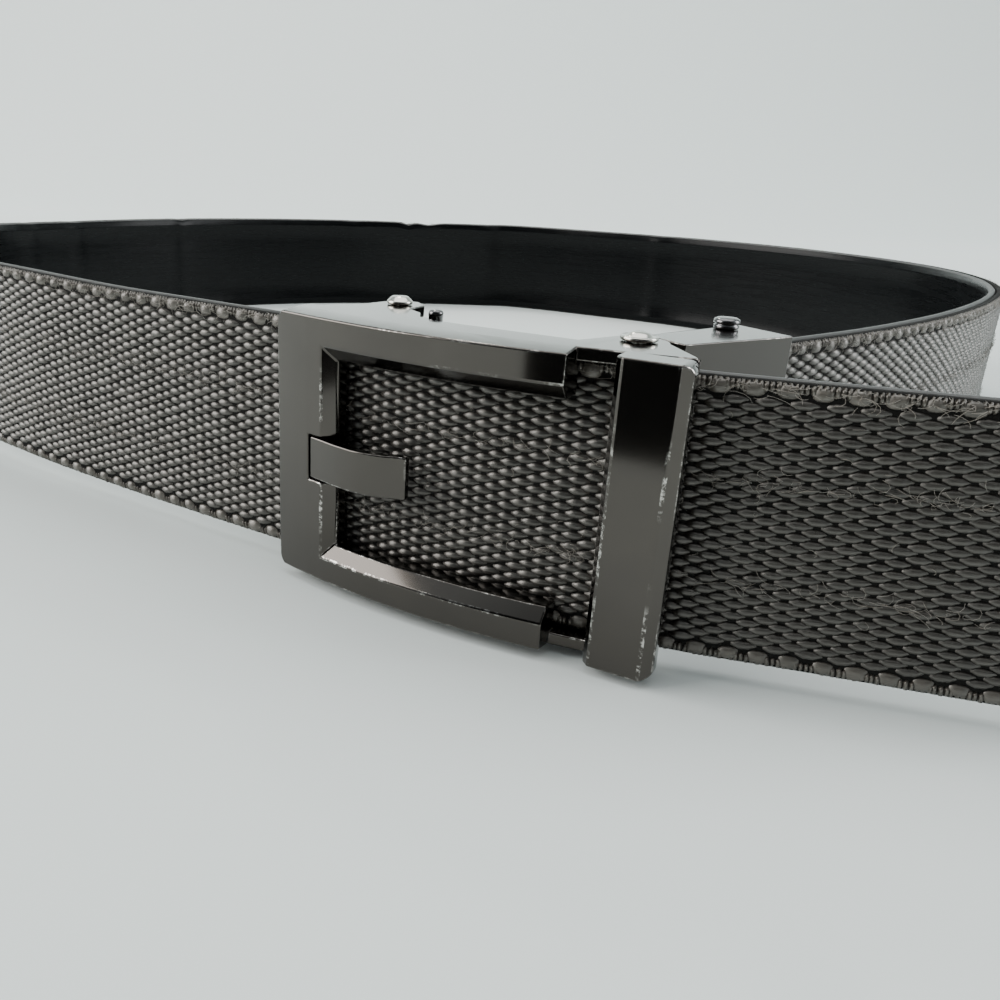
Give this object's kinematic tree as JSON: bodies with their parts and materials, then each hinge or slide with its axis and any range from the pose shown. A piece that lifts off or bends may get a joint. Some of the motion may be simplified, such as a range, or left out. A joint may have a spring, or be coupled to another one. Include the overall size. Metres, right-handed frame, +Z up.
{
  "type": "ratchet belt",
  "caption": "Fastened webbing ratchet belt with a lined strap, an open-faced cast buckle, a sprung release lever and a hinged clamp for the fixed end.",
  "frame": {"origin": "centre of the bounding box at its base, on the surface that the belt stands on", "axes": "+Z up across the strap's width, +X along the buckle's face towards the free end, +Y from the buckle into the loop"},
  "size_m": [0.3014, 0.2914, 0.0412],
  "materials": {
    "webbing": "coarse woven webbing",
    "lining": "glossy coated, lightly creased",
    "track": "moulded, satin",
    "gunmetal": "polished gunmetal plating, scuffed at the edges",
    "nickel": "bright nickel",
    "dark_chrome": "dark chrome"
  },
  "bodies": {
    "root": {"webbing": "webbing", "lining": "lining", "ratchet_track": "track", "buckle_frame": "gunmetal", "prong": "gunmetal", "left_rivet": "nickel", "right_rivet": "nickel", "clamp_box": "gunmetal", "clamp_pin": "dark_chrome"},
    "release_lever": {"release_lever": "gunmetal", "lever_pin": "dark_chrome"},
    "clamp_jaw": {"clamp_jaw": "gunmetal"}
  },
  "joints": [
    {"name": "lever_hinge", "type": "hinge", "parent": "root", "child": "release_lever", "pos_m": [0.05766, -0.12825, 0.0206], "axis": [0, 0, 1], "range_deg": [0, 15], "stiffness_Nm_per_rad": 0.02},
    {"name": "jaw_hinge", "type": "hinge", "parent": "root", "child": "clamp_jaw", "pos_m": [0.09997, -0.1119, 0.0206], "axis": [0, 0, -1], "range_deg": [0, 95]}
  ]
}
